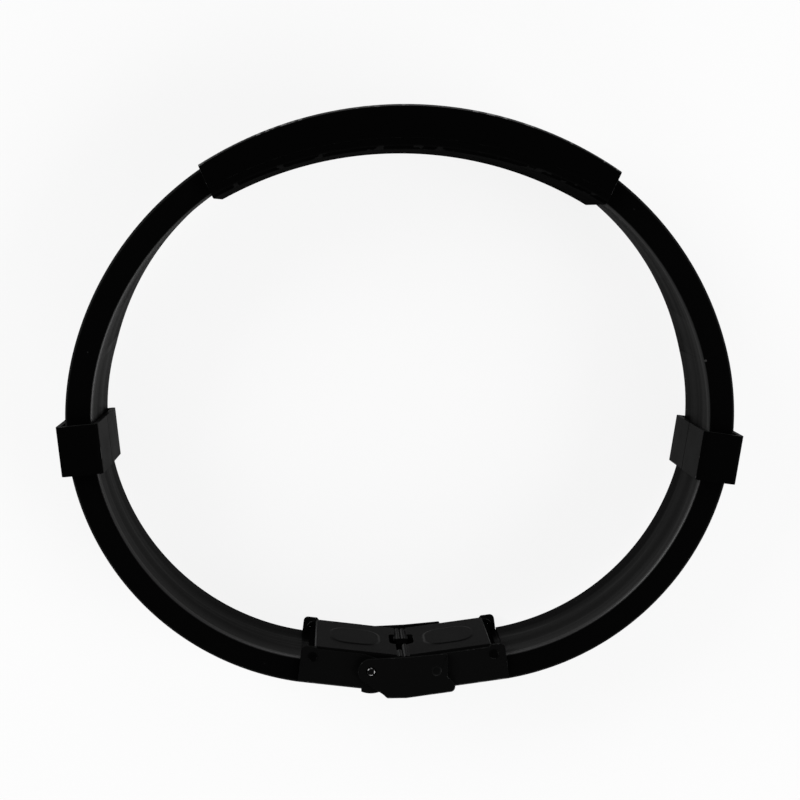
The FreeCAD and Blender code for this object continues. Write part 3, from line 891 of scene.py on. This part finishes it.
# %% [markdown]
# ## Blades
# Each blade is a shallow cover with bent sides that swings on the outer pin. A long pad is pressed up in its
# middle, with sloping sides. Its inner end has a notch with round corners for the hook and is rolled to a barrel
# about the centre pin, in a long and a short length.

# %% Blades
BLADE_HALF = 5.1
BLADE_SHEET = 0.4
BLADE_TOP = 1.05
BLADE_SKIRT = 0.1
BLADE_START = 0.1
BLADE_END = 9.1
BLADE_BEND = 0.25
BLADE_EAR = 0.85
PAD_START, PAD_LENGTH, PAD_WIDTH = 1.6, 5.85, 5.8
PAD_CORNER, PAD_HEIGHT, PAD_SLOPE = 2.1, 0.1, 0.42
BARREL = (9.52, 0.75)
BARREL_RADIUS = 0.28
BARREL_HOLE = 0.15
WEB_DROP = 0.12
NOTCH_START, NOTCH_LOW, NOTCH_HIGH = 8.41, -2.3, 1.1
NOTCH_CORNER = 0.55
KNUCKLE_END = 5.0
LOW_KNUCKLE = -1.2
HIGH_KNUCKLE = {LEFT: 2.8, RIGHT: 0.8}


def pad():
    """The pressed pad: a round-cornered plate whose top is drawn in and lifted."""
    piece = block("pad", (PAD_START, BLADE_TOP - BLADE_SHEET / 2, -PAD_WIDTH / 2),
                  (PAD_START + PAD_LENGTH, BLADE_TOP, PAD_WIDTH / 2))
    round_over(piece, PAD_CORNER, lambda a, b: abs(a.y - b.y) > 0.1, 10)
    for share in (0.25, 0.5, 0.25):
        top = max(face.center.y for face in piece.data.polygons) / MM
        pick_faces(piece, lambda place, normal: normal.y > 0.9 and place.y > top - 0.001)
        bpy.ops.mesh.inset(thickness=PAD_SLOPE / 3 * MM, depth=PAD_HEIGHT * share * MM)
        bpy.ops.object.mode_set(mode="OBJECT")
    return piece


def blade(side):
    piece = slab(word[side] + "_bent_blade", [
        (BLADE_START, 0), (BLADE_START + 0.2, BLADE_SKIRT), (BLADE_END, BLADE_SKIRT), (BLADE_END, BLADE_TOP),
        (BLADE_START, BLADE_TOP)], BLADE_HALF)
    round_over(piece, BLADE_BEND,
               lambda a, b: min(a.y, b.y) > BLADE_TOP - NEAR and min(a.x, b.x) < BLADE_END - NEAR, 5)
    unite(piece, rod("blade_ear", 0, 0, BLADE_EAR, -BLADE_HALF, BLADE_HALF, 64))
    inside = BLADE_HALF - BLADE_SHEET
    cut(piece, block("under", (-2, -2, -inside), (BLADE_END + 1, BLADE_TOP - BLADE_SHEET, inside)),
        block("past_start", (-2, -2, -inside), (BLADE_START, 2, inside)))
    unite(piece, pad())
    notch = block("notch", (NOTCH_START, -0.25, NOTCH_LOW), (BARREL[0] - BARREL_RADIUS, 1.75, NOTCH_HIGH))
    round_over(notch, NOTCH_CORNER, lambda a, b: max(a.x, b.x) < NOTCH_START + NEAR and abs(a.y - b.y) > 1, 6)
    cut(piece, notch, rod("blade_hole", 0, 0, RUNNING_HOLE, -BEYOND, BEYOND))
    for low, high in ((-KNUCKLE_END, LOW_KNUCKLE), (HIGH_KNUCKLE[side], KNUCKLE_END)):
        web = block("web", (BLADE_END - 0.1, BLADE_TOP - BLADE_SHEET, low),
                    (BARREL[0], BLADE_TOP - WEB_DROP, high))
        barrel = rod("barrel", *BARREL, BARREL_RADIUS, low, high, 32)
        unite(piece, web, barrel)
    cut(piece, rod("centre_hole", *BARREL, BARREL_HOLE, -BEYOND, BEYOND, 24))
    soften(piece, 0.04)
    return seat_on_clasp(piece, side)


for side in (LEFT, RIGHT):
    dress(blade(side), word[side] + "_blade", SATIN)

# %% [markdown]
# ## Cover
# The cover is one bent sheet over both channels. It hinges on the left strap pin, its floor turns up along the
# right channel to a finger lip, and a raised spot on each side snaps over the end of the right strap pin.

# %% Cover
COVER_HALF = 6.05
COVER_SHEET = 0.35
COVER_EAR = 1.4
SNAP = (7.1062, 0.0)
SLOPE = -math.tan(CLASP_TILT)
FLOOR_DEPTH = (0.06 - CHANNEL_FLOOR + STRAP_PIN[1]) / math.cos(CLASP_TILT)
SHEET_DROP = COVER_SHEET / math.cos(CLASP_TILT)
COVER_END = 8.3
COVER_LIP = 0.85
COVER_HEEL = 1.8
COVER_KINK = 3.85
COVER_RIM_MIDDLE, COVER_RIM_END = 1.55, 1.9
LIP_RISE = 0.5
LIP_CORNER, RIM_CORNER, COVER_BEND = 0.45, 0.2, 0.25
SPOT_RADIUS, POCKET_RADIUS, SPOT_RISE = 0.55, 0.5, 0.12


def cover_floor(x, drop=0.0):
    return (x, -FLOOR_DEPTH - (x - SNAP[0]) * SLOPE - drop)


def cap(name, x, y, radius, rise, face, side):
    """A ball whose cap beyond a side face has this radius and rise."""
    size = (radius ** 2 + rise ** 2) / (2 * rise)
    start_fresh()
    bpy.ops.mesh.primitive_uv_sphere_add(segments=96, ring_count=96, radius=size * MM,
                                         location=Vector((x, y, side * (face + rise - size))) * MM)
    piece = name_it(name)
    settle(piece)
    return piece


def snap_cover():
    inside = COVER_HALF - COVER_SHEET
    kink = cover_floor(COVER_KINK)
    tip = cover_floor(COVER_END + COVER_LIP)
    low_kink, low_tip = cover_floor(COVER_KINK, SHEET_DROP), cover_floor(COVER_END + COVER_LIP, SHEET_DROP)
    heel = (COVER_HEEL, low_kink[1])
    past = cover_floor(COVER_END + 3)
    piece = slab("snap_cover", arc((0, 0), COVER_EAR, 90, 225, 24) + [
        (heel[0] - 0.5, heel[1] + 0.5), heel, low_kink, low_tip, (tip[0], tip[1] + LIP_RISE),
        (COVER_END, tip[1] + LIP_RISE + COVER_LIP), (COVER_END, COVER_RIM_END),
        (COVER_END / 2, COVER_RIM_MIDDLE)], COVER_HALF)
    on_side = along_side(COVER_HALF)
    round_over(piece, LIP_CORNER, lambda a, b: crosswise(a, b) and stands_at(a, *low_tip), 6)
    round_over(piece, RIM_CORNER, lambda a, b: crosswise(a, b) and stands_at(a, COVER_END, COVER_RIM_END))
    round_over(piece, COVER_BEND, lambda a, b: on_side(a, b) and min(a.x, b.x) > heel[0] - NEAR
               and max(a.y, b.y) < low_tip[1] + LIP_CORNER + NEAR)
    cut(piece, slab("inside", [(-3, low_kink[1] - 1), (heel[0], low_kink[1] - 1), (heel[0], kink[1]), kink, past,
                               (past[0], BEYOND), (-3, BEYOND)], inside),
        rod("hinge_hole", 0, 0, RUNNING_HOLE, -BEYOND, BEYOND))
    for side in (-1, 1):
        spot = cap("spot", *SNAP, SPOT_RADIUS, SPOT_RISE, COVER_HALF, side)
        low, high = sorted((side * (COVER_HALF - COVER_SHEET * 0.6), side * (COVER_HALF - BEYOND)))
        cut(spot, block("spot_back", (SNAP[0] - 3, -3, low), (SNAP[0] + 3, 3, high)))
        unite(piece, spot)
        cut(piece, cap("pocket", *SNAP, POCKET_RADIUS, SPOT_RISE, inside, side))
    soften(piece, 0.05)
    return seat(piece, pivot["cover_lift"])


dress(snap_cover(), "cover", CLASP_COATING)

# %% [markdown]
# ## Pins
# The outer pins are riveted over the channels and have a darker coating than they do. The left strap pin is bare
# steel with domed ends, which stand out through the cover's ears. The right strap pin ends in small domes inside the
# cover's raised spots.

# %% Pins
PIN_PROUD = 0.12         # how far a pin's end stands out of the sheet
SNAP_GRIP = 0.03
RIVET_DOME, HINGE_DOME, SNAP_DOME = 0.12, 0.25, 0.19


def domed_pin(name, x, y, half, dome):
    piece = rod(name, x, y, PIN_RADIUS, -half, half, 64)
    round_over(piece, dome, along_side(half), 6)
    return piece


for side in (LEFT, RIGHT):
    rivet = domed_pin(word[side] + "_rivet", 0, 0, CHANNEL_WIDTH / 2 + PIN_PROUD, RIVET_DOME)
    dress(seat_on_clasp(rivet, side), word[side] + "_end_pin", RIVET_COATING)
hinge = domed_pin("cover_hinge_pin", *STRAP_PIN, COVER_HALF + PIN_PROUD, HINGE_DOME)
dress(seat_on_clasp(hinge, LEFT), "left_strap_pin", PIN_STEEL)
snap = domed_pin("snap_pin", *STRAP_PIN, COVER_HALF - COVER_SHEET + SNAP_GRIP, SNAP_DOME)
dress(seat_on_clasp(snap, RIGHT), "right_strap_pin", PIN_STEEL)

# %% [markdown]
# ## Table, light and camera
# The table is white, and the photograph shows it without a horizon. The light comes from large soft boxes low
# around the band, and the space above the camera stays dark, so the faces that look up stay black.

# %% Table
TABLE_SIZE = 12          # metres
TABLE_DROP = 0.02        # below the band, in millimetres


def white_table():
    finish = Finish("white_table")
    lit = finish.node("ShaderNodeBsdfDiffuse", inputs={"Color": grey(0.8)}, output="BSDF")
    plain = finish.node("ShaderNodeEmission", inputs={"Color": grey(1), "Strength": 0.96}, output="Emission")
    seen = finish.node("ShaderNodeLightPath", output="Is Camera Ray")
    glossy = finish.node("ShaderNodeLightPath", output="Is Glossy Ray")
    share = finish.node("ShaderNodeMath", {"operation": "MAXIMUM"}, {0: seen, 1: glossy})
    finish.end_with(finish.node("ShaderNodeMixShader", inputs={"Fac": share * 0.9, 1: lit, 2: plain},
                                output="Shader"))
    return finish.material


start_fresh()
bpy.ops.mesh.primitive_plane_add(size=TABLE_SIZE, location=(0, 0, -TABLE_DROP * MM))
table = name_it("table")
settle(table)
table.data.materials.append(white_table())

# %% Light
SOFT_BOX_SIZE = 0.5      # metres
WORLD_LEVEL = 0.04


def soft_box(name, place, power):
    """A square area lamp that faces the band. Its place is in metres."""
    start_fresh()
    bpy.ops.object.light_add(type="AREA", location=place)
    lamp = bpy.context.active_object
    lamp.name = name
    lamp.data.shape = "SQUARE"
    lamp.data.size = SOFT_BOX_SIZE
    lamp.data.energy = power
    lamp.rotation_euler = (-Vector(place)).to_track_quat("-Z", "Y").to_euler()


soft_box("window_left", (-0.6, 0.35, 0.35), 7)
soft_box("window_right", (0.6, -0.25, 0.35), 7)
soft_box("window_back", (0.1, 0.7, 0.3), 2.6)
soft_box("window_front", (0.0, -0.7, 0.3), 4.4)
world = bpy.data.worlds.new("studio")
bpy.context.scene.world = world
world.use_nodes = True
world.node_tree.nodes["Background"].inputs["Color"].default_value = grey(WORLD_LEVEL)

# %% [markdown]
# ### The camera
# In the photograph all edges that run along the width of the band point at one place, the one straight below the
# camera. Its distance from the middle of the picture and the focal length give the tilt. Both are in pixels of
# the photograph's 800 by 800 frame.

# %% Camera
PICTURE = 800
FOCAL_LENGTH = 1384
BELOW_CAMERA = Vector((334 - PICTURE / 2, 210 - PICTURE / 2))
CAMERA_PLACE = Vector((-7.225, 20.899, 156.5)) * MM

downwards = Vector((BELOW_CAMERA.x, -BELOW_CAMERA.y, -FOCAL_LENGTH)).normalized()
right_axis = Vector((math.sqrt(1 - downwards.x ** 2), 0, -downwards.x))
backwards_x = right_axis.z * downwards.z / right_axis.x
backwards = Vector((backwards_x, math.sqrt(1 - backwards_x ** 2 - downwards.z ** 2), -downwards.z))
up_axis = backwards.cross(right_axis)
start_fresh()
bpy.ops.object.camera_add()
camera = bpy.context.active_object
camera.matrix_world = Matrix.Translation(CAMERA_PLACE) @ Matrix(
    (right_axis, up_axis, backwards)).transposed().to_4x4()
camera.data.sensor_width = 36
camera.data.lens = FOCAL_LENGTH * camera.data.sensor_width / PICTURE
camera.data.clip_start = 1 * MM
bpy.context.scene.camera = camera
bpy.context.scene.view_settings.view_transform = "Standard"
print("camera at", [round(value / MM, 1) for value in camera.location], "mm, lens",
      round(camera.data.lens, 2), "mm")
